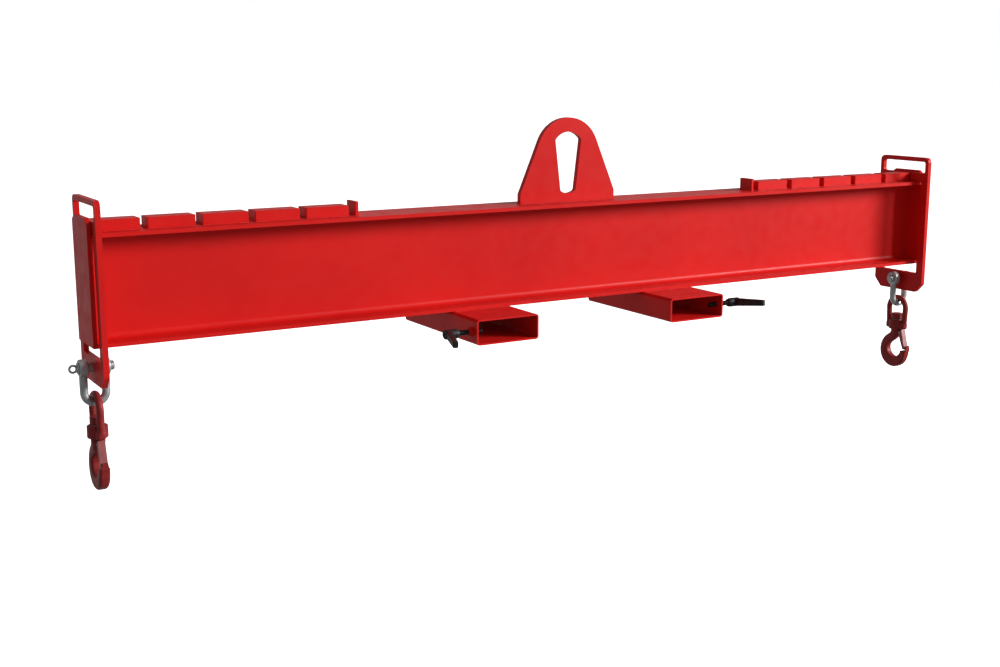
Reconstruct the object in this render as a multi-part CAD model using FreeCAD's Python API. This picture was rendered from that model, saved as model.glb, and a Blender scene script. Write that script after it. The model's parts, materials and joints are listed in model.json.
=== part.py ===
import FreeCAD, Part
import math
import os

# Adjustable lifting spreader beam.
#
# Axes: +X along the beam, +Y across it, +Z up, all lengths in millimetres.
# Origin: the crown of the lifting lug's slot, where the crane hook carries the beam.
# The beam is symmetric left to right, so most pieces are made once on the +X side
# and mirrored. Pieces on the -X side are "left", pieces on the +X side are "right".

# ---- main beam: a rolled I-section, 300 deep by 150 wide ----
BEAM_LENGTH = 3000.0
BEAM_DEPTH = 300.0
FLANGE_WIDTH = 150.0
FLANGE_THICK = 10.7
WEB_THICK = 7.1
ROOT_RADIUS = 15.0

# ---- lifting lug ----
LUG_THICK = 18.0
LUG_HALF_BASE = 175.0
LUG_EDGE_HEIGHT = 30.0
LUG_TOP_RADIUS = 114.0
LUG_TOP_CENTRE = 147.0          # height of the top radius' centre above the beam
SLOT_CROWN = 217.0              # height of the slot's highest point above the beam
SLOT_CROWN_RADIUS = 60.0
SLOT_HALF_TOP = 48.0            # half width where the arched crown begins
SLOT_HALF_BOTTOM = 28.0
SLOT_SIDE_BOTTOM = 35.0         # height where the tapered sides end
SLOT_BOTTOM = 26.0
SLOT_CORNER = 7.0
PLATE_EDGE = 1.0                # broken edge on plates and bars

BEAM_TOP = -SLOT_CROWN
BEAM_BOTTOM = BEAM_TOP - BEAM_DEPTH

# ---- end plates ----
END_PLATE_THICK = 12.0
END_PLATE_RISE = 40.0
END_PLATE_CUT_Y = 20.0
END_PLATE_CUT_Z = 14.0

# ---- notch blocks and stop plates on the top flange ----
NOTCH_PITCH = 150.0
NOTCH_WIDTH = 20.0
FIRST_NOTCH = 750.0             # centre of the innermost notch from mid-beam
BLOCKS_PER_SIDE = 5
BLOCK_HEIGHT = 30.0
BLOCK_DEPTH = 60.0
STOP_THICK = 10.0
STOP_HEIGHT = 40.0

# ---- fork pockets ----
POCKET_CENTRE = 350.0
POCKET_WIDTH = 210.0
POCKET_HEIGHT = 76.0
POCKET_LENGTH = 460.0
POCKET_WALL = 5.0
POCKET_CORNER = 10.0

# ---- hanger frames ----
FRAME_CENTRE = 1491.5
FRAME_THICK = 15.0
FRAME_HALF_WIDTH = 115.0
FRAME_RISE = 88.0               # top of the handle above the beam
FRAME_TOP_CORNER = 18.0
HANDLE_HALF_WIDTH = 100.0
HANDLE_BAR = 15.0
CROSSBAR_HEIGHT = 32.0
CROSSBAR_GAP = 0.3
WINDOW_HALF_WIDTH = 85.0
WINDOW_DROP = 35.0              # gap under the beam, so the frame lifts over the blocks
FRAME_DROP = 105.0              # bottom edge below the beam
FRAME_CUT_Y = 30.0
FRAME_CUT_Z = 32.0
HANDLE_CORNER = 8.0
WINDOW_CORNER = 5.0
PIN_DROP = 63.0                 # shackle pin below the beam

# ---- D-shackles ----
PIN_RADIUS = 12.5
PIN_HOLE_RADIUS = 13.5
BOW_BAR_RADIUS = 11.0
BOW_HALF_INSIDE = 18.25
BOW_INSIDE_LENGTH = 73.0        # from the pin's surface to the crown
EAR_RADIUS = 24.0
EAR_THICK = 22.0
EAR_HOLE_RADIUS = 12.8
PIN_COLLAR_RADIUS = 15.5
PIN_COLLAR_THICK = 4.0
PIN_END = 13.0                  # threaded end past the far ear
EYE_RING_RADIUS = 9.4
EYE_BAR_RADIUS = 3.3
EYE_CENTRE = 14.5               # eye centre past the near ear
EYE_NECK_FOOT = 8.5
EYE_NECK_TOP = 4.0
EAR_ROUNDING = 4.0
PIN_CHAMFER = 2.0

# ---- swivel hooks, drops below the beam's underside ----
LINK_BAR_RADIUS = 10.0
LINK_ARCH_RADIUS = 39.5
LINK_FOOT_HALF = 36.0
LINK_FOOT_DROP = 240.0
COLLAR_RADIUS = 28.0
COLLAR_ROUNDING = 3.0
COLLAR_TOP_DROP = 222.0
COLLAR_BOTTOM_DROP = 256.0
BRIDGE_HALF_Y = 45.0
BRIDGE_HALF_X = 13.0
BRIDGE_TOP_DROP = 228.0
BRIDGE_CORNER = 9.0
SHANK_RADIUS = 11.0
FIT = 0.05                      # radial clearance of a running fit
GAP = 0.3                       # clearance between faces that move past each other
WASHER_RADIUS = 18.0
WASHER_THICK = 2.5
NUT_RADIUS = 19.5
NUT_TOP_DROP = 197.0
NUT_CHAMFER = 2.0
CROSS_PIN_RADIUS = 2.5
CROSS_PIN_SHORT = 1.0           # pin ends below the nut's surface
CROSS_PIN_DROP = 208.0
NECK_RADIUS = 19.0
NECK_TOP_DROP = COLLAR_BOTTOM_DROP + 2 * GAP
SHANK_ROOT = 5.0                # how far the shank's foot runs into the neck
NIB_Y = -59.0
NIB_FOOT_DROP = 334.0
NIB_TOP_DROP = 314.0
NIB_HALF_THICK = 2.5
NIB_HALF_FOOT = 12.0
NIB_HALF_TOP = 8.0
NIB_CORNER = 2.0

# ---- latch ----
LATCH_PIVOT_Y = -26.0
LATCH_PIVOT_DROP = 268.0
LATCH_LEAN = 16.0               # degrees from vertical towards the tip
LATCH_TOP = 7.6                 # blade's top edge above the pivot
LATCH_REACH = 62.5
LATCH_TAIL = 3.0                # the blade ends this much lower than its flanges' inner edges
LATCH_HALF_WIDTH = 10.0
LATCH_SHEET = 2.0
LATCH_EAR_RADIUS = 7.3
LATCH_PLATE_OFFSET = 8.6
LATCH_LIP = 8.6
LATCH_PIN_RADIUS = 3.0
LATCH_LUG_RADIUS = 8.2
LATCH_ARM_HALF = 11.0           # half height of the arm from the lug back to the neck
LATCH_LUG_HALF = 3.5
LATCH_COIL_RADIUS = 4.2
LATCH_COIL_PITCH = 1.3
LATCH_COIL_LENGTH = 2.3
LATCH_COIL_START = 4.9
LATCH_LEG_LENGTH = 25.0
LATCH_WIRE_RADIUS = 0.6

# ---- clamps: distances along the clamp axis run outwards from the pocket's wall ----
CLAMP_Y = -198.0
CLAMP_DROP = 39.0
BOSS_RADIUS = 13.0
BOSS_LENGTH = 13.0
BOSS_CHAMFER = 1.5
STUD_RADIUS = 8.0
STUD_INSIDE = 33.0              # stud tip inside the wall's outer face
STUD_END = 62.0
STUD_POINT = 1.5
WALL_HOLE_RADIUS = 9.0
HUB_START = 46.0
HUB_SHOULDER = 53.0
HUB_END = 90.0
HUB_NOSE_RADIUS = 12.5
HUB_RADIUS = 14.5
HUB_CHAMFER = 2.0
INSERT_START = 50.0
INSERT_END = 72.0
INSERT_TOOTH_TIP = 10.5
INSERT_TOOTH_ROOT = 9.8
INSERT_TEETH = 24
WEB_LENGTH = 3.0
SCREW_RADIUS = 3.0
SCREW_HEAD_RADIUS = 4.8
SCREW_HEAD_START = 85.0
SCREW_HEAD_LENGTH = 4.0
SCREW_SOCKET = 5.0              # across the flats
SOCKET_DEPTH = 2.2
COUNTERBORE_RADIUS = 5.6
SPRING_MEAN_RADIUS = 4.2
SPRING_WIRE_RADIUS = 0.55
SPRING_TURNS = 4
WIRE_SIDES = 8
ARM_START = 75.0
ARM_LENGTH = 110.0
ARM_TILT = 18.5
ARM_ROOT = (18.0, 26.0)         # thickness and height where the arm leaves the hub
ARM_TIP = (16.0, 19.5)
ARM_CORNER = 4.0
ARM_END_ROUNDING = 2.5
ARM_PITCH = {"left": -5.0, "right": 5.0}    # degrees the arm's tip is raised

HANG_SHIFT = {"left": 4.0, "right": 0.0}    # shackle outwards of the frame's centre on its pin

X_AXIS = FreeCAD.Vector(1, 0, 0)
Y_AXIS = FreeCAD.Vector(0, 1, 0)
Z_AXIS = FreeCAD.Vector(0, 0, 1)


def vec(x, y, z):
    return FreeCAD.Vector(x, y, z)


def save(shape, node):
    shape.exportStep("parts/" + node + ".step")


def box(low, high):
    size = [b - a for a, b in zip(low, high)]
    return Part.makeBox(size[0], size[1], size[2], vec(*low))


def rod(radius, start, end):
    """Cylinder between two points."""
    axis = end - start
    return Part.makeCylinder(radius, axis.Length, start, axis)


def mirrored(shape):
    """The same piece on the other side of mid-beam."""
    return shape.mirror(vec(0, 0, 0), X_AXIS)


def plate_from(points, direction):
    """Flat plate: a closed outline pushed along a direction."""
    outline = Part.makePolygon(points + [points[0]])
    return Part.Face(outline).extrude(direction)


def edges_along(shape, axis, keep):
    """Straight edges parallel to an axis whose middle passes the keep test."""
    found = []
    for edge in shape.Edges:
        if not isinstance(edge.Curve, Part.Line):
            continue
        if edge.tangentAt(edge.FirstParameter).cross(axis).Length > 1e-6:
            continue
        if keep(edge.CenterOfMass):
            found.append(edge)
    return found


def break_edges(shape, size=PLATE_EDGE):
    """Small chamfer on every straight edge of a plain block."""
    return shape.makeChamfer(size, shape.Edges)


def rounded_section(centre, across, up, half_across, half_up, corner):
    """Closed rounded rectangle centred on a point, in the plane of two unit vectors."""
    corner = min(corner, 0.98 * half_across, 0.98 * half_up)
    flat_a = half_across - corner
    flat_u = half_up - corner
    diagonal = corner * math.sqrt(0.5)

    def at(a, u):
        return centre + across * a + up * u

    quarters = []
    for sign_a, sign_u, turn in ((1, 1, True), (-1, 1, False), (-1, -1, True), (1, -1, False)):
        on_side = at(sign_a * half_across, sign_u * flat_u)
        on_top = at(sign_a * flat_a, sign_u * half_up)
        middle = at(sign_a * (flat_a + diagonal), sign_u * (flat_u + diagonal))
        quarters.append((on_side, middle, on_top) if turn else (on_top, middle, on_side))
    edges = []
    for index, (start, middle, end) in enumerate(quarters):
        edges.append(Part.Arc(start, middle, end).toShape())
        edges.append(Part.makeLine(end, quarters[(index + 1) % 4][0]))
    return Part.Wire(edges)


def wire_section(centre, across, up, radius):
    """Eight-sided section of a spring wire, in the plane of two unit vectors."""
    corners = []
    for step in range(WIRE_SIDES):
        angle = 2 * math.pi * step / WIRE_SIDES
        corners.append(centre + across * (radius * math.cos(angle)) + up * (radius * math.sin(angle)))
    return Part.makePolygon(corners + [corners[0]])


def toothed_prism(tip, root, start, end):
    """Prism with a ring of V teeth, along +X."""
    points = []
    for step in range(2 * INSERT_TEETH):
        radius = tip if step % 2 == 0 else root
        angle = math.pi * step / INSERT_TEETH
        points.append(vec(start, radius * math.cos(angle), radius * math.sin(angle)))
    return plate_from(points, vec(end - start, 0, 0))


# ---- beam and what is welded to it ----

def main_beam():
    half = BEAM_LENGTH / 2
    half_flange = FLANGE_WIDTH / 2
    half_web = WEB_THICK / 2
    top = box((-half, -half_flange, BEAM_TOP - FLANGE_THICK), (half, half_flange, BEAM_TOP))
    bottom = box((-half, -half_flange, BEAM_BOTTOM), (half, half_flange, BEAM_BOTTOM + FLANGE_THICK))
    web = box((-half, -half_web, BEAM_BOTTOM + FLANGE_THICK), (half, half_web, BEAM_TOP - FLANGE_THICK))
    section = top.fuse(bottom).fuse(web).removeSplitter()
    roots = edges_along(section, X_AXIS, lambda p: abs(abs(p.y) - half_web) < 0.1)
    return section.makeFillet(ROOT_RADIUS, roots)


def end_plate():
    """Right end plate, its top corners cut off."""
    face = BEAM_LENGTH / 2
    half = FLANGE_WIDTH / 2
    top = BEAM_TOP + END_PLATE_RISE
    outline = [
        vec(face, -half, BEAM_BOTTOM),
        vec(face, half, BEAM_BOTTOM),
        vec(face, half, top - END_PLATE_CUT_Z),
        vec(face, half - END_PLATE_CUT_Y, top),
        vec(face, -half + END_PLATE_CUT_Y, top),
        vec(face, -half, top - END_PLATE_CUT_Z),
    ]
    plate = plate_from(outline, vec(END_PLATE_THICK, 0, 0))
    outer = [e for e in plate.Edges if e.BoundBox.XMin > face + END_PLATE_THICK - 0.1]
    return plate.makeChamfer(PLATE_EDGE, outer)


def lug_outline(y):
    """Base, two slopes and the top radius that they run into without a corner."""
    centre = vec(0, y, BEAM_TOP + LUG_TOP_CENTRE)
    shoulder = vec(LUG_HALF_BASE, y, BEAM_TOP + LUG_EDGE_HEIGHT)
    to_shoulder = shoulder - centre
    bearing = math.atan2(to_shoulder.z, to_shoulder.x)
    swing = math.acos(LUG_TOP_RADIUS / to_shoulder.Length)
    tangent = bearing + swing
    touch = centre + vec(math.cos(tangent), 0, math.sin(tangent)) * LUG_TOP_RADIUS
    touch_left = vec(-touch.x, y, touch.z)
    crest = centre + Z_AXIS * LUG_TOP_RADIUS
    base_right = vec(LUG_HALF_BASE, y, BEAM_TOP)
    base_left = vec(-LUG_HALF_BASE, y, BEAM_TOP)
    shoulder_left = vec(-LUG_HALF_BASE, y, shoulder.z)
    return Part.Wire([
        Part.makeLine(base_left, base_right),
        Part.makeLine(base_right, shoulder),
        Part.makeLine(shoulder, touch),
        Part.Arc(touch, crest, touch_left).toShape(),
        Part.makeLine(touch_left, shoulder_left),
        Part.makeLine(shoulder_left, base_left),
    ])


def lug_slot(y):
    """Slot that widens upwards to an arched crown."""
    crown = vec(0, y, 0)
    rise = SLOT_CROWN_RADIUS - math.sqrt(SLOT_CROWN_RADIUS ** 2 - SLOT_HALF_TOP ** 2)
    right_top = vec(SLOT_HALF_TOP, y, -rise)
    left_top = vec(-SLOT_HALF_TOP, y, -rise)
    right_bottom = vec(SLOT_HALF_BOTTOM, y, BEAM_TOP + SLOT_SIDE_BOTTOM)
    left_bottom = vec(-SLOT_HALF_BOTTOM, y, BEAM_TOP + SLOT_SIDE_BOTTOM)
    lowest = vec(0, y, BEAM_TOP + SLOT_BOTTOM)
    return Part.Wire([
        Part.Arc(right_top, crown, left_top).toShape(),
        Part.makeLine(left_top, left_bottom),
        Part.Arc(left_bottom, lowest, right_bottom).toShape(),
        Part.makeLine(right_bottom, right_top),
    ])


def lifting_lug():
    half = LUG_THICK / 2
    push = vec(0, LUG_THICK, 0)
    plate = Part.Face(lug_outline(-half)).extrude(push)
    opening = Part.Face(lug_slot(-half)).extrude(push)
    corners = edges_along(opening, Y_AXIS, lambda p: True)
    opening = opening.makeFillet(SLOT_CORNER, corners)
    return plate.cut(opening)


def notch_block(index):
    """Right-hand block between two notches; the outermost one is cut short by the end plate."""
    start = FIRST_NOTCH + NOTCH_PITCH * index + NOTCH_WIDTH / 2
    end = min(start + NOTCH_PITCH, BEAM_LENGTH / 2) - NOTCH_WIDTH
    half = BLOCK_DEPTH / 2
    return break_edges(box((start, -half, BEAM_TOP), (end, half, BEAM_TOP + BLOCK_HEIGHT)))


def stop_plate():
    """Right-hand stop at the inner side of the innermost notch."""
    end = FIRST_NOTCH - NOTCH_WIDTH / 2
    half = BLOCK_DEPTH / 2
    low = (end - STOP_THICK, -half, BEAM_TOP)
    return break_edges(box(low, (end, half, BEAM_TOP + STOP_HEIGHT)))


def pocket_prism(inset):
    """Solid rounded bar with the pocket's section, made smaller all round by inset."""
    centre = vec(POCKET_CENTRE, -POCKET_LENGTH / 2, BEAM_BOTTOM - POCKET_HEIGHT / 2)
    half_width = POCKET_WIDTH / 2 - inset
    half_height = POCKET_HEIGHT / 2 - inset
    section = rounded_section(centre, X_AXIS, Z_AXIS, half_width, half_height, POCKET_CORNER - inset)
    return Part.Face(section).extrude(vec(0, POCKET_LENGTH, 0))


def clamp_frame_right(pitch=0.0):
    """Placement of the right clamp: +X outwards from the pocket wall, -Y towards the arm's tip."""
    origin = vec(POCKET_CENTRE + POCKET_WIDTH / 2, CLAMP_Y, BEAM_BOTTOM - CLAMP_DROP)
    return FreeCAD.Placement(origin, FreeCAD.Rotation(X_AXIS, -pitch))


def fork_pocket():
    tube = pocket_prism(0.0).cut(pocket_prism(POCKET_WALL))
    hole = rod(WALL_HOLE_RADIUS, vec(-2 * POCKET_WALL, 0, 0), vec(POCKET_WALL, 0, 0))
    hole.Placement = clamp_frame_right()
    return tube.cut(hole)


# ---- hanger frame ----

def hanger_frame():
    half = FRAME_HALF_WIDTH
    face = FRAME_CENTRE - FRAME_THICK / 2
    through = vec(FRAME_THICK, 0, 0)
    top = BEAM_TOP + FRAME_RISE
    bottom = BEAM_BOTTOM - FRAME_DROP
    outline = [
        vec(face, -half + FRAME_CUT_Y, bottom),
        vec(face, half - FRAME_CUT_Y, bottom),
        vec(face, half, bottom + FRAME_CUT_Z),
        vec(face, half, top),
        vec(face, -half, top),
        vec(face, -half, bottom + FRAME_CUT_Z),
    ]
    plate = plate_from(outline, through)
    plate = plate.makeFillet(FRAME_TOP_CORNER, edges_along(plate, X_AXIS, lambda p: p.z > top - 1))
    knees = edges_along(plate, X_AXIS, lambda p: p.z < bottom + FRAME_CUT_Z + 1)
    plate = plate.makeFillet(HANDLE_CORNER, knees)

    crossbar_bottom = BEAM_TOP + CROSSBAR_GAP
    crossbar_top = BEAM_TOP + CROSSBAR_HEIGHT
    handle_low = (face, -HANDLE_HALF_WIDTH, crossbar_top)
    handle = box(handle_low, (face + FRAME_THICK, HANDLE_HALF_WIDTH, top - HANDLE_BAR))
    handle = handle.makeFillet(HANDLE_CORNER, edges_along(handle, X_AXIS, lambda p: True))
    window_low = (face, -WINDOW_HALF_WIDTH, BEAM_BOTTOM - WINDOW_DROP)
    window = box(window_low, (face + FRAME_THICK, WINDOW_HALF_WIDTH, crossbar_bottom))
    window = window.makeFillet(WINDOW_CORNER, edges_along(window, X_AXIS, lambda p: True))
    pin_level = BEAM_BOTTOM - PIN_DROP
    hole = rod(PIN_HOLE_RADIUS, vec(face, 0, pin_level), vec(face + FRAME_THICK, 0, pin_level))
    return plate.cut(handle).cut(window).cut(hole)


# ---- shackle, made about its own pin axis and then moved to the frame ----

def at_shackle(shape):
    shape.translate(vec(FRAME_CENTRE, 0, BEAM_BOTTOM - PIN_DROP))
    return shape


def shackle_bow():
    bar = BOW_HALF_INSIDE + BOW_BAR_RADIUS
    crown = -(PIN_RADIUS + BOW_INSIDE_LENGTH + BOW_BAR_RADIUS)
    bend = crown + bar
    path = Part.Wire([
        Part.makeLine(vec(-bar, 0, 0), vec(-bar, 0, bend)),
        Part.Arc(vec(-bar, 0, bend), vec(0, 0, crown), vec(bar, 0, bend)).toShape(),
        Part.makeLine(vec(bar, 0, bend), vec(bar, 0, 0)),
    ])
    section = Part.Wire(Part.makeCircle(BOW_BAR_RADIUS, vec(-bar, 0, 0), Z_AXIS))
    bow = path.makePipeShell([section], True, False)
    hole_reach = bar + EAR_THICK
    for side in (-1, 1):
        inner = side * (bar - EAR_THICK / 2)
        ear = rod(EAR_RADIUS, vec(inner, 0, 0), vec(inner + side * EAR_THICK, 0, 0))
        ear = ear.makeFillet(EAR_ROUNDING, ear.Edges)
        bow = bow.fuse(ear)
    hole = rod(EAR_HOLE_RADIUS, vec(-hole_reach, 0, 0), vec(hole_reach, 0, 0))
    return at_shackle(bow.cut(hole))


def shackle_pin():
    """Screw pin: threaded end towards mid-beam, eye on the outer side."""
    ear_face = BOW_HALF_INSIDE + EAR_THICK
    shank = rod(PIN_RADIUS, vec(-ear_face - PIN_END, 0, 0), vec(ear_face, 0, 0))
    tip = [e for e in shank.Edges if e.BoundBox.XMax < -ear_face]
    shank = shank.makeChamfer(PIN_CHAMFER, tip)
    collar = rod(PIN_COLLAR_RADIUS, vec(ear_face, 0, 0), vec(ear_face + PIN_COLLAR_THICK, 0, 0))
    collar = collar.makeChamfer(PLATE_EDGE, collar.Edges)
    eye_x = ear_face + EYE_CENTRE
    eye = Part.makeTorus(EYE_RING_RADIUS, EYE_BAR_RADIUS, vec(eye_x, 0, 0), Y_AXIS)
    neck_start = ear_face + PIN_COLLAR_THICK
    neck_length = eye_x - EYE_RING_RADIUS + EYE_BAR_RADIUS / 2 - neck_start
    neck = Part.makeCone(EYE_NECK_FOOT, EYE_NECK_TOP, neck_length, vec(neck_start, 0, 0), X_AXIS)
    pin = shank.fuse(collar).fuse(neck).fuse(eye)
    return at_shackle(pin)


# ---- swivel hook, made about the swivel axis, z zero at the beam's underside ----

def at_hook(shape):
    shape.translate(vec(FRAME_CENTRE, 0, BEAM_BOTTOM))
    return shape


def swivel_link():
    """Arched link that hangs in the bow, with the collar that the hook turns in."""
    crown = -(PIN_DROP + PIN_RADIUS + BOW_INSIDE_LENGTH) + LINK_BAR_RADIUS + 2 * GAP
    centre = crown - LINK_ARCH_RADIUS
    start = vec(0, -LINK_ARCH_RADIUS, centre)
    end = vec(0, LINK_ARCH_RADIUS, centre)
    arch_path = Part.Wire([Part.Arc(start, vec(0, 0, crown), end).toShape()])
    section = Part.Wire(Part.makeCircle(LINK_BAR_RADIUS, start, Z_AXIS))
    link = arch_path.makePipeShell([section], True, False)
    for knee in (start, end):
        side = 1 if knee.y > 0 else -1
        foot = vec(0, side * LINK_FOOT_HALF, -LINK_FOOT_DROP)
        link = link.fuse(Part.makeSphere(LINK_BAR_RADIUS, knee))
        link = link.fuse(rod(LINK_BAR_RADIUS, knee, foot))
    bridge = box((-BRIDGE_HALF_X, -BRIDGE_HALF_Y, -COLLAR_BOTTOM_DROP),
                 (BRIDGE_HALF_X, BRIDGE_HALF_Y, -BRIDGE_TOP_DROP))
    bridge = bridge.makeFillet(BRIDGE_CORNER, bridge.Edges)
    collar = rod(COLLAR_RADIUS, vec(0, 0, -COLLAR_BOTTOM_DROP), vec(0, 0, -COLLAR_TOP_DROP))
    collar = collar.makeFillet(COLLAR_ROUNDING, collar.Edges)
    bore = rod(SHANK_RADIUS + FIT, vec(0, 0, -COLLAR_BOTTOM_DROP - 1), vec(0, 0, -COLLAR_TOP_DROP + 1))
    return at_hook(link.fuse(bridge).fuse(collar).cut(bore))


def thrust_washer():
    low = -COLLAR_TOP_DROP + GAP
    ring = rod(WASHER_RADIUS, vec(0, 0, low), vec(0, 0, low + WASHER_THICK))
    hole = rod(SHANK_RADIUS, vec(0, 0, low), vec(0, 0, low + WASHER_THICK))
    return at_hook(ring.cut(hole))


def cross_pin_bar():
    half = NUT_RADIUS - CROSS_PIN_SHORT
    return rod(CROSS_PIN_RADIUS, vec(0, -half, -CROSS_PIN_DROP), vec(0, half, -CROSS_PIN_DROP))


def swivel_nut():
    low = -COLLAR_TOP_DROP + GAP + WASHER_THICK
    nut = rod(NUT_RADIUS, vec(0, 0, low), vec(0, 0, -NUT_TOP_DROP))
    nut = nut.makeChamfer(NUT_CHAMFER, nut.Edges)
    bore = rod(SHANK_RADIUS, vec(0, 0, low), vec(0, 0, -NUT_TOP_DROP))
    reach = 2 * NUT_RADIUS
    hole = rod(CROSS_PIN_RADIUS, vec(0, -reach, -CROSS_PIN_DROP), vec(0, reach, -CROSS_PIN_DROP))
    return at_hook(nut.cut(bore).cut(hole))


def nut_cross_pin():
    return at_hook(cross_pin_bar())


# Stations down the hook's centreline: y, drop below the beam, heading of the section's
# outer side in degrees from +Y towards +Z, half size in the hook's plane, half thickness, corner.
HOOK_STATIONS = (
    (0.0, NECK_TOP_DROP, 0.0, NECK_RADIUS, NECK_RADIUS, NECK_RADIUS),
    (0.0, 268.0, 0.0, NECK_RADIUS, 18.5, 16.0),
    (14.5, 287.0, 24.0, 18.4, 15.5, 11.0),
    (36.0, 304.5, 24.0, 17.0, 14.5, 9.5),
    (48.5, 331.0, -3.0, 17.0, 14.5, 9.0),
    (37.5, 366.0, -44.0, 19.5, 15.5, 9.0),
    (2.5, 382.5, -90.0, 19.7, 15.5, 9.0),
    (-30.0, 368.5, -138.0, 17.0, 15.5, 9.0),
    (-43.5, 346.0, -172.0, 13.2, 15.0, 8.0),
    (-46.3, 332.0, -195.0, 15.5, 14.5, 7.0),
)


def hook_body():
    """Forged hook opening towards -Y, with its shank, tip nib and latch lug."""
    sections = []
    for y, drop, heading, half_in_plane, half_thick, corner in HOOK_STATIONS:
        angle = math.radians(heading)
        outwards = vec(0, math.cos(angle), math.sin(angle))
        centre = vec(0, y, -drop)
        sections.append(rounded_section(centre, outwards, X_AXIS, half_in_plane, half_thick, corner))
    hook = Part.makeLoft(sections, True, False)
    foot_centre = vec(0, NIB_Y, -NIB_FOOT_DROP)
    top_centre = vec(0, NIB_Y, -NIB_TOP_DROP)
    nib_foot = rounded_section(foot_centre, Y_AXIS, X_AXIS, NIB_HALF_THICK, NIB_HALF_FOOT, NIB_CORNER)
    nib_top = rounded_section(top_centre, Y_AXIS, X_AXIS, NIB_HALF_THICK, NIB_HALF_TOP, NIB_CORNER)
    hook = hook.fuse(Part.makeLoft([nib_foot, nib_top], True, False))
    shank_foot = vec(0, 0, -NECK_TOP_DROP - SHANK_ROOT)
    hook = hook.fuse(rod(SHANK_RADIUS, shank_foot, vec(0, 0, -NUT_TOP_DROP)))

    pivot = vec(0, LATCH_PIVOT_Y, -LATCH_PIVOT_DROP)
    ear_reach = X_AXIS * LATCH_LUG_HALF
    eye = rod(LATCH_LUG_RADIUS, pivot - ear_reach, pivot + ear_reach)
    arm_low = (-LATCH_LUG_HALF, pivot.y, pivot.z - LATCH_ARM_HALF)
    arm = box(arm_low, (LATCH_LUG_HALF, 0, pivot.z + LATCH_ARM_HALF))
    hook = hook.fuse(eye).fuse(arm)
    pin_hole = rod(LATCH_PIN_RADIUS, pivot - X_AXIS * LATCH_HALF_WIDTH, pivot + X_AXIS * LATCH_HALF_WIDTH)
    cross_reach = Y_AXIS * (2 * NUT_RADIUS)
    cross_centre = vec(0, 0, -CROSS_PIN_DROP)
    cross_hole = rod(CROSS_PIN_RADIUS, cross_centre - cross_reach, cross_centre + cross_reach)
    return at_hook(hook.cut(pin_hole).cut(cross_hole))


def at_latch(shape):
    """From the latch's own frame, pivot at the origin and blade along -Z, to its closed place."""
    lean = FreeCAD.Rotation(X_AXIS, -LATCH_LEAN)
    closed = FreeCAD.Placement(vec(0, LATCH_PIVOT_Y, -LATCH_PIVOT_DROP), lean)
    shape.Placement = closed.multiply(shape.Placement)
    return at_hook(shape)


def latch():
    """Bent sheet latch: an outer blade with two side flanges that carry the pivot holes."""
    outer = -LATCH_PLATE_OFFSET - LATCH_SHEET
    tail = -LATCH_REACH - LATCH_TAIL
    blade = box((-LATCH_HALF_WIDTH, outer, tail), (LATCH_HALF_WIDTH, -LATCH_PLATE_OFFSET, LATCH_TOP))
    body = blade
    for side in (-1, 1):
        inner_x = side * (LATCH_HALF_WIDTH - LATCH_SHEET)
        flange = plate_from([
            vec(inner_x, outer, LATCH_TOP),
            vec(inner_x, 0, LATCH_EAR_RADIUS),
            vec(inner_x, LATCH_EAR_RADIUS, 0),
            vec(inner_x, -LATCH_PLATE_OFFSET + LATCH_LIP, -LATCH_REACH),
            vec(inner_x, outer, tail),
        ], vec(side * LATCH_SHEET, 0, 0))
        body = body.fuse(flange)
    hole = rod(LATCH_PIN_RADIUS + FIT, vec(-2 * LATCH_HALF_WIDTH, 0, 0), vec(2 * LATCH_HALF_WIDTH, 0, 0))
    return at_latch(body.cut(hole).removeSplitter())


def latch_pin():
    half = LATCH_HALF_WIDTH + 2.0
    pivot = vec(0, LATCH_PIVOT_Y, -LATCH_PIVOT_DROP)
    return at_hook(rod(LATCH_PIN_RADIUS, pivot - X_AXIS * half, pivot + X_AXIS * half))


def latch_spring():
    """Torsion coil round the latch pin, beside the hook's lug, with a leg that bears on the blade."""
    turns = LATCH_COIL_LENGTH / LATCH_COIL_PITCH
    slope = LATCH_COIL_PITCH / (2 * math.pi * LATCH_COIL_RADIUS)
    start = vec(LATCH_COIL_RADIUS, 0, 0)
    into_coil = vec(0, 1, slope)
    into_coil.normalize()
    leg_end = start - into_coil * LATCH_LEG_LENGTH
    helix = Part.makeHelix(LATCH_COIL_PITCH, turns * LATCH_COIL_PITCH, LATCH_COIL_RADIUS)
    path = Part.Wire([Part.makeLine(leg_end, start)] + helix.Edges)
    section = wire_section(leg_end, X_AXIS, into_coil.cross(X_AXIS), LATCH_WIRE_RADIUS)
    spring = path.makePipeShell([section], True, False)

    # The axis goes onto the pin, and the leg's end is turned round to the blade's inner face.
    reach = math.hypot(LATCH_LEG_LENGTH, LATCH_COIL_RADIUS)
    leg_bearing = math.atan2(-LATCH_COIL_RADIUS, -LATCH_LEG_LENGTH)
    blade_bearing = -math.pi / 2 - math.asin((LATCH_PLATE_OFFSET - LATCH_WIRE_RADIUS) / reach)
    turn = FreeCAD.Rotation(X_AXIS, math.degrees(blade_bearing - leg_bearing))
    onto_pin = FreeCAD.Rotation(Y_AXIS, 90)
    spring.Placement = FreeCAD.Placement(vec(LATCH_COIL_START, 0, 0), turn.multiply(onto_pin))
    return at_latch(spring)


# ---- clamp, made along +X outwards from the pocket wall's outer face ----

def clamp_boss():
    boss = rod(BOSS_RADIUS, vec(0, 0, 0), vec(BOSS_LENGTH, 0, 0))
    outer = [e for e in boss.Edges if e.BoundBox.XMin > BOSS_LENGTH - 0.1]
    boss = boss.makeChamfer(BOSS_CHAMFER, outer)
    return boss.cut(rod(STUD_RADIUS + FIT, vec(0, 0, 0), vec(BOSS_LENGTH, 0, 0)))


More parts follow.
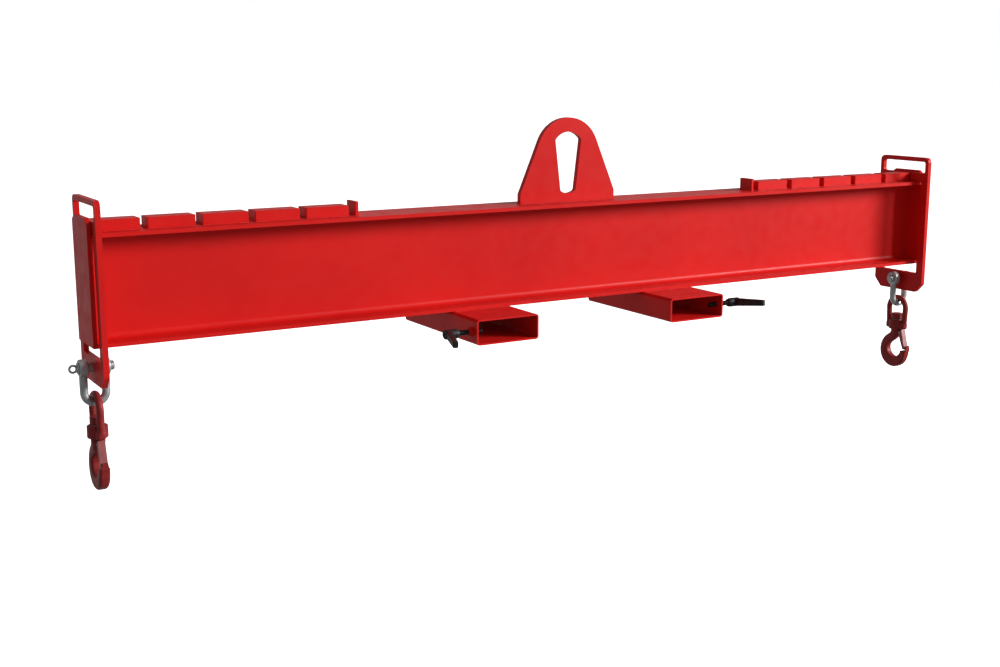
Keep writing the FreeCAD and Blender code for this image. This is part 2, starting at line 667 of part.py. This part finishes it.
def clamp_stud():
    stud = rod(STUD_RADIUS, vec(-STUD_INSIDE, 0, 0), vec(STUD_END, 0, 0))
    ends = [e for e in stud.Edges if isinstance(e.Curve, Part.Circle)]
    return stud.makeChamfer(STUD_POINT, ends)


def clamp_insert():
    """Toothed steel bush on the stud's end; the handle's hub slides over its teeth."""
    insert = toothed_prism(INSERT_TOOTH_TIP, INSERT_TOOTH_ROOT, INSERT_START, INSERT_END)
    socket = rod(STUD_RADIUS + FIT, vec(INSERT_START, 0, 0), vec(STUD_END + GAP, 0, 0))
    tapped = rod(SCREW_RADIUS, vec(STUD_END, 0, 0), vec(INSERT_END, 0, 0))
    return insert.cut(socket).cut(tapped)


def clamp_screw():
    head_end = SCREW_HEAD_START + SCREW_HEAD_LENGTH
    shank = rod(SCREW_RADIUS, vec(STUD_END + 2 * GAP, 0, 0), vec(SCREW_HEAD_START, 0, 0))
    head = rod(SCREW_HEAD_RADIUS, vec(SCREW_HEAD_START, 0, 0), vec(head_end, 0, 0))
    hexagon = []
    for corner in range(6):
        angle = math.radians(60 * corner)
        radius = SCREW_SOCKET / math.sqrt(3)
        floor = head_end - SOCKET_DEPTH
        hexagon.append(vec(floor, radius * math.cos(angle), radius * math.sin(angle)))
    return shank.fuse(head).cut(plate_from(hexagon, vec(2 * SOCKET_DEPTH, 0, 0)))


def clamp_spring():
    """Coil between the hub's web and the screw head; it holds the handle on the teeth."""
    start = INSERT_END + 3 * GAP + WEB_LENGTH + SPRING_WIRE_RADIUS
    length = SCREW_HEAD_START - SPRING_WIRE_RADIUS - start
    helix = Part.makeHelix(length / SPRING_TURNS, length, SPRING_MEAN_RADIUS)
    section = wire_section(vec(SPRING_MEAN_RADIUS, 0, 0), X_AXIS, Z_AXIS, SPRING_WIRE_RADIUS)
    coil = Part.Wire(helix).makePipeShell([section], True, False)
    coil.Placement = FreeCAD.Placement(vec(start, 0, 0), FreeCAD.Rotation(Y_AXIS, 90))
    return coil


def clamp_handle():
    """Round hub with one flat tapered arm that leans away from the pocket."""
    half_section = Part.makePolygon([
        vec(HUB_START, 0, 0),
        vec(HUB_START, HUB_NOSE_RADIUS, 0),
        vec(HUB_SHOULDER, HUB_RADIUS, 0),
        vec(HUB_END - HUB_CHAMFER, HUB_RADIUS, 0),
        vec(HUB_END, HUB_RADIUS - HUB_CHAMFER, 0),
        vec(HUB_END, 0, 0),
        vec(HUB_START, 0, 0),
    ])
    hub = Part.Face(half_section).revolve(vec(0, 0, 0), X_AXIS, 360)
    tilt = math.radians(ARM_TILT)
    along = vec(math.sin(tilt), -math.cos(tilt), 0)
    across = vec(math.cos(tilt), math.sin(tilt), 0)
    root = vec(ARM_START, 0, 0)
    tip = root + along * ARM_LENGTH
    root_section = rounded_section(root, across, Z_AXIS, ARM_ROOT[0] / 2, ARM_ROOT[1] / 2, ARM_CORNER)
    tip_section = rounded_section(tip, across, Z_AXIS, ARM_TIP[0] / 2, ARM_TIP[1] / 2, ARM_CORNER)
    arm = Part.makeLoft([root_section, tip_section], True, True)
    end_rim = [e for e in arm.Edges if (e.CenterOfMass - tip).dot(along) > -0.1]
    arm = arm.makeFillet(ARM_END_ROUNDING, end_rim)
    handle = hub.fuse(arm)
    socket_end = INSERT_END + 2 * GAP
    socket = toothed_prism(INSERT_TOOTH_TIP + GAP, INSERT_TOOTH_ROOT + GAP, HUB_START - 1, socket_end)
    screw_hole = rod(SCREW_RADIUS + GAP, vec(HUB_START, 0, 0), vec(HUB_END, 0, 0))
    counterbore = rod(COUNTERBORE_RADIUS, vec(socket_end + WEB_LENGTH, 0, 0), vec(2 * HUB_END, 0, 0))
    return handle.cut(socket).cut(screw_hole).cut(counterbore)


def save_pair(make, name):
    """One piece made on the right and mirrored to the left."""
    right = make()
    save(mirrored(right), name + "_left")
    save(right, name + "_right")


def save_clamps():
    for name, make in (("clamp_boss", clamp_boss), ("clamp_stud", clamp_stud),
                       ("clamp_insert", clamp_insert), ("clamp_screw", clamp_screw),
                       ("clamp_spring", clamp_spring), ("clamp_handle", clamp_handle)):
        for side in ("left", "right"):
            shape = make()
            shape.Placement = clamp_frame_right(ARM_PITCH[side]).multiply(shape.Placement)
            save(mirrored(shape) if side == "left" else shape, name + "_" + side)


def save_hanging():
    """Shackles and hooks: both hooks open towards -Y, each set at its own place on the pin."""
    for name, make in (("shackle_bow", shackle_bow), ("shackle_pin", shackle_pin),
                       ("swivel_link", swivel_link), ("swivel_washer", thrust_washer),
                       ("swivel_nut", swivel_nut), ("swivel_nut_pin", nut_cross_pin),
                       ("hook_body", hook_body), ("hook_latch", latch),
                       ("latch_pin", latch_pin), ("latch_spring", latch_spring)):
        for side in ("left", "right"):
            shape = make()
            shape.translate(X_AXIS * HANG_SHIFT[side])
            save(mirrored(shape) if side == "left" else shape, name + "_" + side)


os.makedirs("parts", exist_ok=True)
save(main_beam(), "main_beam")
save(lifting_lug(), "lifting_lug")
save_pair(end_plate, "end_plate")
save_pair(stop_plate, "stop_plate")
for number in range(BLOCKS_PER_SIDE):
    save_pair(lambda: notch_block(number), "notch_block_%d" % (number + 1))
save_pair(fork_pocket, "fork_pocket")
save_pair(hanger_frame, "hanger_frame")
save_hanging()
save_clamps()
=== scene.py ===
import json
import math

import bmesh
import bpy
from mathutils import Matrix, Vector


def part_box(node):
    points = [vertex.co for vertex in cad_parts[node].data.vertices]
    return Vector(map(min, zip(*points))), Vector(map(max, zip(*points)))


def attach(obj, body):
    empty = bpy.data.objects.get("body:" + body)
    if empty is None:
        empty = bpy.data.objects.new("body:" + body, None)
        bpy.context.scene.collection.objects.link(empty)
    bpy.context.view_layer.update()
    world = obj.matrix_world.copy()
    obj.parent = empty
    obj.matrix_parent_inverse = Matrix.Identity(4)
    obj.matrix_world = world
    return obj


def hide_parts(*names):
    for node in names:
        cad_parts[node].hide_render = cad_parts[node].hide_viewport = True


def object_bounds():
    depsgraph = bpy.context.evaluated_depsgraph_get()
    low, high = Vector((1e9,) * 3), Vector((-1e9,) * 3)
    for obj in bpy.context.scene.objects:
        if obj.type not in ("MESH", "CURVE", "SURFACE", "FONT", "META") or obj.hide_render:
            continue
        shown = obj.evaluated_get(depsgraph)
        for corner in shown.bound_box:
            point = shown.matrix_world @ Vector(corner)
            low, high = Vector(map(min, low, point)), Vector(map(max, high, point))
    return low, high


# Looks for the adjustable lifting spreader beam. Metres, in the part's own frame: +X along
# the beam, -Y towards the side that the hooks open to, +Z up, origin at the crown of the lug's slot.

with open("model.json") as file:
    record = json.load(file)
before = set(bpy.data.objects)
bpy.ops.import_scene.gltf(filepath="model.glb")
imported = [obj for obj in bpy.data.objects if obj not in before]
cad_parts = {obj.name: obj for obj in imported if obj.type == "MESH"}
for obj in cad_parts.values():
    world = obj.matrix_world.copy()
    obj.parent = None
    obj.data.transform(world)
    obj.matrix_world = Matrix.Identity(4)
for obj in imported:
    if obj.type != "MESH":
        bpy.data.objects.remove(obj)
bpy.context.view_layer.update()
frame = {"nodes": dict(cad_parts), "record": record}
NODES = frame["nodes"]
RECORD = frame["record"]
SIDES = (("left", -1), ("right", 1))

# ---- camera ----
CAMERA_PLACE = Vector((-2.379, -3.617, 0.224))
CAMERA_BEARING = math.radians(30.57)    # from +Y towards +X
CAMERA_DIP = math.radians(11.32)
CAMERA_LENS = 49.5

# ---- paint colours ----
RED = (0.66, 0.011, 0.009)
RED_SHADE = (0.58, 0.009, 0.008)
RED_WORN = (0.30, 0.006, 0.006)
MAROON = (0.29, 0.022, 0.022)
MAROON_SHADE = (0.22, 0.016, 0.016)
MAROON_WORN = (0.30, 0.09, 0.08)
LATCH = (0.34, 0.10, 0.098)
LATCH_SHADE = (0.27, 0.075, 0.073)
LATCH_WORN = (0.40, 0.24, 0.22)

# ---- light ----
KEY_PLACE = (12.0, -9.5, 5.0)
KEY_SIZE = 6.0
KEY_POWER = 3500.0
FILL_PLACE = (0.0, -6.0, -0.6)
FILL_SIZE = 3.0
FILL_POWER = 25.0
LIGHT_TARGET = (0.0, 0.0, -0.4)
WORLD_FRONT = 0.20                      # strength of the surroundings before the beam
WORLD_BACK = 0.40                       # and behind it

# ---- sizes of the part that its boxes don't give ----
FLANGE_THICK = 0.0107
WEB_THICK = 0.0071
ROOT_RADIUS = 0.015
PIN_RADIUS = 0.0125
PIN_LEVEL = -0.58
POCKET_INSET = 0.012                    # weld's distance from the pocket's side walls
NOTCH_BLOCKS = 5                        # blocks on each side

# ---- weld beads ----
BEAD_RADIUS = 0.0024
BEAD_PITCH = 0.0032
BEAD_SIDES = 8
BEAD_STEPS = 4                          # rings along each ripple
BEAD_RIPPLE = 0.13

# ---- threads ----
STUD_PITCH = 0.002
STUD_THREAD_DEPTH = 0.0011
THREAD_SIDES = 40
THREAD_STEPS = 6                        # rings along each pitch
THREAD_END_DROP = 1.2                   # thread depths that the ends taper by
PIN_PITCH = 0.0025
PIN_THREAD_FOOT = 0.0004                # foot of the crest below the pin's surface
PIN_THREAD_HEIGHT = 0.0011
PIN_THREAD_HALF = 0.36 * PIN_PITCH      # half width of the crest's foot
PIN_THREAD_TAPER = 12                   # steps over which the crest rises and fades
PIN_CHAMFER = 0.003

FLOOR_DROP = 0.80                       # floor below the lowest hook
FLOOR_SIZE = 60.0
CAMERA_REACH = 100.0                    # farthest distance the camera sees


# ---- materials ----

class Tree:
    """A new node material with short calls for its nodes and links."""

    def __init__(self, name):
        self.material = bpy.data.materials.new(name)
        self.material.use_nodes = True
        self.nodes = self.material.node_tree.nodes
        self.links = self.material.node_tree.links
        self.shader = self.nodes["Principled BSDF"]
        self.place = self.nodes.new("ShaderNodeTexCoord").outputs["Object"]

    def link(self, start, end):
        self.links.new(start, end)

    def noise(self, scale, detail=3.0, roughness=0.5):
        node = self.nodes.new("ShaderNodeTexNoise")
        node.inputs["Scale"].default_value = scale
        node.inputs["Detail"].default_value = detail
        node.inputs["Roughness"].default_value = roughness
        self.link(self.place, node.inputs["Vector"])
        return node.outputs["Fac"]

    def cells(self, scale):
        node = self.nodes.new("ShaderNodeTexVoronoi")
        node.inputs["Scale"].default_value = scale
        self.link(self.place, node.inputs["Vector"])
        return node.outputs["Color"]

    def ramp(self, value, low, high, to_low=0.0, to_high=1.0):
        node = self.nodes.new("ShaderNodeMapRange")
        node.inputs["From Min"].default_value = low
        node.inputs["From Max"].default_value = high
        node.inputs["To Min"].default_value = to_low
        node.inputs["To Max"].default_value = to_high
        self.link(value, node.inputs["Value"])
        return node.outputs["Result"]

    def maths(self, operation, first, second):
        node = self.nodes.new("ShaderNodeMath")
        node.operation = operation
        for socket, value in zip(node.inputs, (first, second)):
            if isinstance(value, (int, float)):
                socket.default_value = value
            else:
                self.link(value, socket)
        return node.outputs["Value"]

    def mix(self, factor, first, second):
        node = self.nodes.new("ShaderNodeMix")
        node.data_type = "RGBA"
        self.link(factor, node.inputs["Factor"])
        for key, value in (("A", first), ("B", second)):
            socket = [s for s in node.inputs if s.name == key and s.type == "RGBA"][0]
            if isinstance(value, tuple):
                socket.default_value = (*value, 1.0)
            else:
                self.link(value, socket)
        return [s for s in node.outputs if s.type == "RGBA"][0]

    def edges(self, radius):
        """1 on sharp edges, 0 on flat and gently curved faces."""
        bevel = self.nodes.new("ShaderNodeBevel")
        bevel.samples = 4
        bevel.inputs["Radius"].default_value = radius
        normal = self.nodes.new("ShaderNodeNewGeometry").outputs["Normal"]
        dot = self.nodes.new("ShaderNodeVectorMath")
        dot.operation = "DOT_PRODUCT"
        self.link(bevel.outputs["Normal"], dot.inputs[0])
        self.link(normal, dot.inputs[1])
        return self.ramp(dot.outputs["Value"], 0.97, 0.80)

    def bump(self, *layers):
        """Stacked bumps, each (height, strength, distance in metres)."""
        last = None
        for height, strength, distance in layers:
            node = self.nodes.new("ShaderNodeBump")
            node.inputs["Strength"].default_value = strength
            node.inputs["Distance"].default_value = distance
            self.link(height, node.inputs["Height"])
            if last:
                self.link(last, node.inputs["Normal"])
            last = node.outputs["Normal"]
        self.link(last, self.shader.inputs["Normal"])

    def finish(self, colour, roughness, metallic=0.0, specular=0.5):
        self.link(colour, self.shader.inputs["Base Color"])
        self.link(roughness, self.shader.inputs["Roughness"])
        self.shader.inputs["Metallic"].default_value = metallic
        self.shader.inputs["Specular IOR Level"].default_value = specular
        return self.material


def powder_coat(name, colour, shade, worn, roughness, specular):
    """Sprayed gloss coat: faint patches, orange peel, and thin darker rubbing along edges."""
    tree = Tree(name)
    patches = tree.ramp(tree.noise(2.4, 4.0), 0.35, 0.70)
    mottled = tree.mix(patches, colour, shade)
    rubbed = tree.maths("MULTIPLY", tree.edges(0.0014), tree.ramp(tree.noise(38.0, 5.0), 0.50, 0.66))
    tree.bump((tree.noise(420.0, 2.0), 0.10, 0.0004), (tree.noise(55.0, 2.0), 0.02, 0.0008))
    rough = tree.ramp(tree.noise(24.0, 4.0), 0.3, 0.7, roughness - 0.05, roughness + 0.08)
    colour_out = tree.mix(tree.maths("MULTIPLY", rubbed, 0.55), mottled, worn)
    return tree.finish(colour_out, rough, specular=specular)


def forged_paint(name, colour, shade, worn, roughness):
    """Thin paint over forging scale: pitted surface, rubbed where it touches other parts."""
    tree = Tree(name)
    patches = tree.ramp(tree.noise(36.0, 5.0), 0.35, 0.68)
    mottled = tree.mix(patches, colour, shade)
    rubbed = tree.maths("MULTIPLY", tree.edges(0.0016), tree.ramp(tree.noise(150.0, 4.0), 0.46, 0.62))
    pits = tree.ramp(tree.noise(260.0, 3.0), 0.38, 0.62)
    tree.bump((pits, 0.16, 0.0005), (tree.noise(70.0, 3.0), 0.18, 0.0009))
    rough = tree.ramp(tree.noise(80.0, 3.0), 0.3, 0.7, roughness - 0.06, roughness + 0.10)
    colour_out = tree.mix(tree.maths("MULTIPLY", rubbed, 0.6), mottled, worn)
    return tree.finish(colour_out, rough, specular=0.24)


def galvanised(name):
    """Dull zinc: cloudy grey with faint crystals and soft unevenness from dipping."""
    tree = Tree(name)
    clouds = tree.ramp(tree.noise(45.0, 5.0), 0.32, 0.70)
    base = tree.mix(clouds, (0.38, 0.39, 0.39), (0.56, 0.57, 0.57))
    grey = tree.nodes.new("ShaderNodeRGBToBW")
    tree.link(tree.cells(260.0), grey.inputs["Color"])
    spangle = tree.maths("MULTIPLY", grey.outputs["Val"], 0.22)
    colour = tree.mix(spangle, base, (0.66, 0.67, 0.68))
    tree.bump((tree.noise(170.0, 3.0), 0.12, 0.0005), (tree.noise(900.0, 2.0), 0.05, 0.0002))
    rough = tree.ramp(tree.noise(120.0, 4.0), 0.3, 0.7, 0.34, 0.56)
    return tree.finish(colour, rough, metallic=0.65)


def plated(name):
    """Bright zinc plate with fine turning marks."""
    tree = Tree(name)
    colour = tree.mix(tree.ramp(tree.noise(90.0), 0.3, 0.7), (0.26, 0.25, 0.24), (0.38, 0.37, 0.36))
    tree.bump((tree.noise(1200.0, 2.0), 0.06, 0.0002))
    rough = tree.ramp(tree.noise(200.0), 0.3, 0.7, 0.22, 0.38)
    return tree.finish(colour, rough, metallic=1.0)


def black_oxide(name):
    """Blackened steel, slightly oily, brighter where threads and corners rub."""
    tree = Tree(name)
    patches = tree.ramp(tree.noise(120.0, 4.0), 0.35, 0.7)
    base = tree.mix(patches, (0.011, 0.011, 0.012), (0.024, 0.024, 0.026))
    rubbed = tree.maths("MULTIPLY", tree.edges(0.0005), tree.ramp(tree.noise(260.0), 0.5, 0.64))
    colour = tree.mix(tree.maths("MULTIPLY", rubbed, 0.35), base, (0.12, 0.12, 0.12))
    tree.bump((tree.noise(1500.0, 2.0), 0.08, 0.0002))
    rough = tree.ramp(tree.noise(160.0), 0.3, 0.7, 0.30, 0.46)
    return tree.finish(colour, rough, metallic=0.35, specular=0.4)


def lever_black(name):
    """Fine-textured black coating on the die-cast lever."""
    tree = Tree(name)
    grain = tree.noise(1700.0, 2.0)
    patches = tree.ramp(tree.noise(70.0, 4.0), 0.35, 0.7)
    base = tree.mix(patches, (0.007, 0.007, 0.008), (0.014, 0.014, 0.015))
    rubbed = tree.maths("MULTIPLY", tree.edges(0.0012), tree.ramp(tree.noise(210.0), 0.5, 0.62))
    colour = tree.mix(tree.maths("MULTIPLY", rubbed, 0.4), base, (0.05, 0.05, 0.05))
    tree.bump((grain, 0.32, 0.0003))
    rough = tree.ramp(tree.noise(90.0), 0.3, 0.7, 0.46, 0.60)
    return tree.finish(colour, rough, specular=0.35)


def make_materials():
    """One finish for each material slot of the record."""
    return {
        "red_paint": powder_coat("red_paint", RED, RED_SHADE, RED_WORN, 0.40, 0.16),
        "maroon_paint": forged_paint("maroon_paint", MAROON, MAROON_SHADE, MAROON_WORN, 0.46),
        "latch_paint": forged_paint("latch_paint", LATCH, LATCH_SHADE, LATCH_WORN, 0.36),
        "galvanised_steel": galvanised("galvanised_steel"),
        "bright_steel": plated("bright_steel"),
        "black_steel": black_oxide("black_steel"),
        "lever_coating": lever_black("lever_coating"),
    }


# ---- mesh helpers ----

def new_piece(name, mesh, body, slot_name):
    """Puts a finished mesh into the scene as a piece that moves with a CAD body."""
    piece = bpy.data.objects.new(name, mesh)
    bpy.context.scene.collection.objects.link(piece)
    mesh.materials.append(MATERIALS[slot_name])
    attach(piece, body)
    return piece


def skin(rings, closed_path, name):
    """Mesh through equal rings of points, capped at the ends unless the path closes."""
    mesh = bpy.data.meshes.new(name)
    build = bmesh.new()
    count = len(rings[0])
    loops = [[build.verts.new(p) for p in ring] for ring in rings]
    last = len(loops) if closed_path else len(loops) - 1
    for i in range(last):
        here, there = loops[i], loops[(i + 1) % len(loops)]
        for j in range(count):
            k = (j + 1) % count
            build.faces.new((here[j], here[k], there[k], there[j]))
    if not closed_path:
        build.faces.new(reversed(loops[0]))
        build.faces.new(loops[-1])
    bmesh.ops.recalc_face_normals(build, faces=build.faces)
    for face in build.faces:
        face.smooth = True
    build.to_mesh(mesh)
    build.free()
    return mesh


def along(points, step, closed):
    """Evenly spaced points on a run of straight stretches, each with its direction."""
    corners = points + [points[0]] if closed else points
    lengths = [(b - a).length for a, b in zip(corners, corners[1:])]
    total = sum(lengths)
    count = max(4, round(total / step))
    places = []
    for i in range(count if closed else count + 1):
        left = total * i / count
        index = 0
        while index < len(lengths) - 1 and left > lengths[index]:
            left -= lengths[index]
            index += 1
        a, b = corners[index], corners[index + 1]
        direction = (b - a).normalized()
        places.append((a + direction * min(left, lengths[index]), direction))
    return places


def bead(name, points, closed=False, radius=BEAD_RADIUS):
    """Weld bead with overlapping ripples, half sunk in the corner that it fills."""
    step = BEAD_PITCH / BEAD_STEPS
    rings = []
    for i, (place, direction) in enumerate(along(points, step, closed)):
        side = direction.cross(Vector((0, 0, 1)))
        if side.length < 0.1:
            side = direction.cross(Vector((0, 1, 0)))
        side.normalize()
        up = side.cross(direction)
        phase = 2 * math.pi * (i % BEAD_STEPS) / BEAD_STEPS
        size = radius * (1 + BEAD_RIPPLE * math.sin(phase))
        angles = [2 * math.pi * j / BEAD_SIDES for j in range(BEAD_SIDES)]
        rings.append([place + (side * math.cos(a) + up * math.sin(a)) * size for a in angles])
    return new_piece(name, skin(rings, closed, name), "beam", "red_paint")


def rectangle(low, high, level):
    return [Vector((x, y, level)) for x, y in
            ((low[0], low[1]), (high[0], low[1]), (high[0], high[1]), (low[0], high[1]))]


def circle(centre, radius, count=40):
    """Points round a centre, in the plane square to the beam."""
    turns = [2 * math.pi * i / count for i in range(count)]
    return [centre + Vector((0, math.cos(t), math.sin(t))) * radius for t in turns]


# ---- welds ----

def weld_footprint(node):
    """Bead all round the foot of a block or plate that stands on the top flange."""
    low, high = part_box(node)
    bead("weld_" + node, rectangle(low, high, low.z), closed=True)


def weld_end_plate(side, sign):
    """Bead where the I-section's outline meets the end plate."""
    low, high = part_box("main_beam")
    face = high.x if sign > 0 else low.x
    flange = FLANGE_THICK
    for y_sign, word in ((-1, "front"), (1, "back")):
        edge = y_sign * high.y
        web = y_sign * WEB_THICK / 2
        points = [
            Vector((face, web, low.z + flange + ROOT_RADIUS)),
            Vector((face, web, high.z - flange - ROOT_RADIUS)),
        ]
        bead("weld_web_%s_%s" % (side, word), points)
        for level, row in ((high.z - flange, "top"), (low.z + flange, "bottom")):
            points = [Vector((face, edge, level)), Vector((face, web + y_sign * ROOT_RADIUS, level))]
            bead("weld_%s_flange_%s_%s" % (row, side, word), points)
    bead("weld_top_%s" % side, [Vector((face, low.y, high.z)), Vector((face, high.y, high.z))])


def weld_pocket(side):
    """Beads along the bottom flange's edges, where it lies across the pocket."""
    beam_low, beam_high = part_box("main_beam")
    low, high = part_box("fork_pocket_" + side)
    for y, word in ((beam_low.y, "front"), (beam_high.y, "back")):
        points = [Vector((low.x + POCKET_INSET, y, high.z)), Vector((high.x - POCKET_INSET, y, high.z))]
        bead("weld_pocket_%s_%s" % (side, word), points)


def weld_boss(side, sign):
    low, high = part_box("clamp_boss_" + side)
    wall = low.x if sign > 0 else high.x
    centre = Vector((wall, (low.y + high.y) / 2, (low.z + high.z) / 2))
    bead("weld_boss_" + side, circle(centre, (high.y - low.y) / 2), closed=True)


def add_welds():
    weld_footprint("lifting_lug")
    for side, sign in SIDES:
        weld_footprint("stop_plate_" + side)
        for number in range(1, NOTCH_BLOCKS + 1):
            weld_footprint("notch_block_%d_%s" % (number, side))
        weld_end_plate(side, sign)
        weld_pocket(side)
        weld_boss(side, sign)


# ---- threads ----

def thread_rings(start, end, radius, pitch, depth, chamfer):
    """Rings of a screw thread along X; the radius follows the helix and fades at both ends."""
    length = abs(end - start)
    sign = 1 if end > start else -1
    count = round(length / pitch) * THREAD_STEPS
    rings = []
    for i in range(count + 1):
        distance = length * i / count
        fade = min(1.0, distance / chamfer, (length - distance) / chamfer)
        ring = []
        for j in range(THREAD_SIDES):
            turn = j / THREAD_SIDES
            wave = (distance / pitch - sign * turn) % 1.0
            tooth = abs(2 * wave - 1)
            size = radius - depth * (1 - tooth) - depth * THREAD_END_DROP * (1 - fade)
            angle = 2 * math.pi * turn
            ring.append(Vector((start + sign * distance, size * math.cos(angle), size * math.sin(angle))))
        rings.append(ring)
    return rings


def add_stud_thread(side, sign):
    """Threaded stud in place of the plain CAD rod."""
    node = "clamp_stud_" + side
    low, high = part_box(node)
    inner, outer = (low.x, high.x) if sign > 0 else (high.x, low.x)
    centre = Vector((0, (low.y + high.y) / 2, (low.z + high.z) / 2))
    radius = (high.z - low.z) / 2
    rings = thread_rings(inner, outer, radius, STUD_PITCH, STUD_THREAD_DEPTH, STUD_PITCH)
    rings = [[p + centre for p in ring] for ring in rings]
    name = "stud_thread_" + side
    piece = new_piece(name, skin(rings, False, name), "clamp_stud_" + side, "black_steel")
    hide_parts(node)


def add_pin_thread(side, sign):
    """Crests of the shackle pin's thread, on the end that stands out of the ear."""
    pin_low, pin_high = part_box("shackle_pin_" + side)
    bow_low, bow_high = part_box("shackle_bow_" + side)
    tip = pin_low.x if sign > 0 else pin_high.x
    ear = bow_low.x if sign > 0 else bow_high.x
    start = tip + sign * PIN_CHAMFER
    turns = (abs(ear - start)) / PIN_PITCH
    steps = round(turns * THREAD_SIDES)
    rings = []
    for i in range(steps + 1):
        angle = 2 * math.pi * i / THREAD_SIDES
        out = Vector((0, math.cos(angle), math.sin(angle)))
        axis = Vector((sign, 0, 0))
        centre = Vector((start, 0, PIN_LEVEL)) + axis * (PIN_PITCH * i / THREAD_SIDES)
        taper = min(1.0, i / PIN_THREAD_TAPER, (steps - i) / PIN_THREAD_TAPER)
        foot = PIN_RADIUS - PIN_THREAD_FOOT
        crest = foot + PIN_THREAD_HEIGHT * taper
        rings.append([
            centre + out * foot - axis * PIN_THREAD_HALF,
            centre + out * crest,
            centre + out * foot + axis * PIN_THREAD_HALF,
        ])
    name = "pin_thread_" + side
    new_piece(name, skin(rings, False, name), "shackle_" + side, "galvanised_steel")


# ---- stage ----

def add_camera():
    camera = bpy.data.objects.new("camera", bpy.data.cameras.new("camera"))
    bpy.context.scene.collection.objects.link(camera)
    level = math.cos(CAMERA_DIP)
    forward = math.cos(CAMERA_BEARING) * level
    sideways = math.sin(CAMERA_BEARING) * level
    look = Vector((sideways, forward, -math.sin(CAMERA_DIP)))
    camera.location = CAMERA_PLACE
    camera.rotation_mode = "QUATERNION"
    camera.rotation_quaternion = look.to_track_quat("-Z", "Y")
    camera.data.lens = CAMERA_LENS
    camera.data.clip_end = CAMERA_REACH
    bpy.context.scene.camera = camera


def add_light(name, place, target, size, power):
    data = bpy.data.lights.new(name, "AREA")
    data.shape = "DISK"
    data.size = size
    data.energy = power
    light = bpy.data.objects.new(name, data)
    bpy.context.scene.collection.objects.link(light)
    light.location = place
    light.rotation_mode = "QUATERNION"
    light.rotation_quaternion = (Vector(target) - Vector(place)).to_track_quat("-Z", "Y")
    return light


def add_floor():
    """Plain pale floor below the hanging beam."""
    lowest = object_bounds()[0].z
    mesh = bpy.data.meshes.new("floor")
    build = bmesh.new()
    bmesh.ops.create_grid(build, x_segments=1, y_segments=1, size=FLOOR_SIZE)
    build.to_mesh(mesh)
    build.free()
    floor = bpy.data.objects.new("floor", mesh)
    bpy.context.scene.collection.objects.link(floor)
    floor.location = (0.0, 0.0, lowest - FLOOR_DROP)
    tree = Tree("floor")
    colour = tree.mix(tree.ramp(tree.noise(0.6), 0.3, 0.7), (0.93, 0.93, 0.93), (0.96, 0.96, 0.96))
    rough = tree.ramp(tree.noise(4.0), 0.3, 0.7, 0.85, 0.95)
    tree.shader.inputs["Emission Color"].default_value = (1.0, 1.0, 1.0, 1.0)
    tree.shader.inputs["Emission Strength"].default_value = 1.0
    mesh.materials.append(tree.finish(colour, rough, specular=0.0))
    floor.visible_glossy = False
    floor.visible_diffuse = False


def add_world():
    """White surroundings to the eye; as light, brighter behind the beam than in front of it."""
    world = bpy.data.worlds.new("studio")
    bpy.context.scene.world = world
    world.use_nodes = True
    nodes, links = world.node_tree.nodes, world.node_tree.links
    nodes.clear()
    place = nodes.new("ShaderNodeTexCoord")
    split = nodes.new("ShaderNodeSeparateXYZ")
    links.new(place.outputs["Generated"], split.inputs["Vector"])
    fade = nodes.new("ShaderNodeMapRange")
    fade.interpolation_type = "SMOOTHSTEP"
    fade.inputs["From Min"].default_value = -0.25
    fade.inputs["From Max"].default_value = 0.85
    fade.inputs["To Min"].default_value = WORLD_FRONT
    fade.inputs["To Max"].default_value = WORLD_BACK
    links.new(split.outputs["Y"], fade.inputs["Value"])
    studio = nodes.new("ShaderNodeBackground")
    links.new(fade.outputs["Result"], studio.inputs["Strength"])
    seen = nodes.new("ShaderNodeBackground")
    seen.inputs["Strength"].default_value = 1.0
    for shade in (studio, seen):
        shade.inputs["Color"].default_value = (1.0, 1.0, 1.0, 1.0)
    choice = nodes.new("ShaderNodeMixShader")
    rays = nodes.new("ShaderNodeLightPath")
    links.new(rays.outputs["Is Camera Ray"], choice.inputs["Fac"])
    links.new(studio.outputs[0], choice.inputs[1])
    links.new(seen.outputs[0], choice.inputs[2])
    out = nodes.new("ShaderNodeOutputWorld")
    links.new(choice.outputs[0], out.inputs["Surface"])


MATERIALS = make_materials()
add_camera()
for part in RECORD["subparts"]:
    node = NODES[part["node"]]
    if not node.material_slots:
        node.data.materials.append(None)
    for place in node.material_slots:
        place.material = MATERIALS[part["material_slot"]]
add_welds()
for side, sign in SIDES:
    add_stud_thread(side, sign)
    add_pin_thread(side, sign)
add_floor()
add_world()
add_light("key", KEY_PLACE, LIGHT_TARGET, KEY_SIZE, KEY_POWER)
fill = add_light("fill", FILL_PLACE, LIGHT_TARGET, FILL_SIZE, FILL_POWER)
fill.visible_glossy = False
bpy.context.scene.view_settings.view_transform = "Standard"
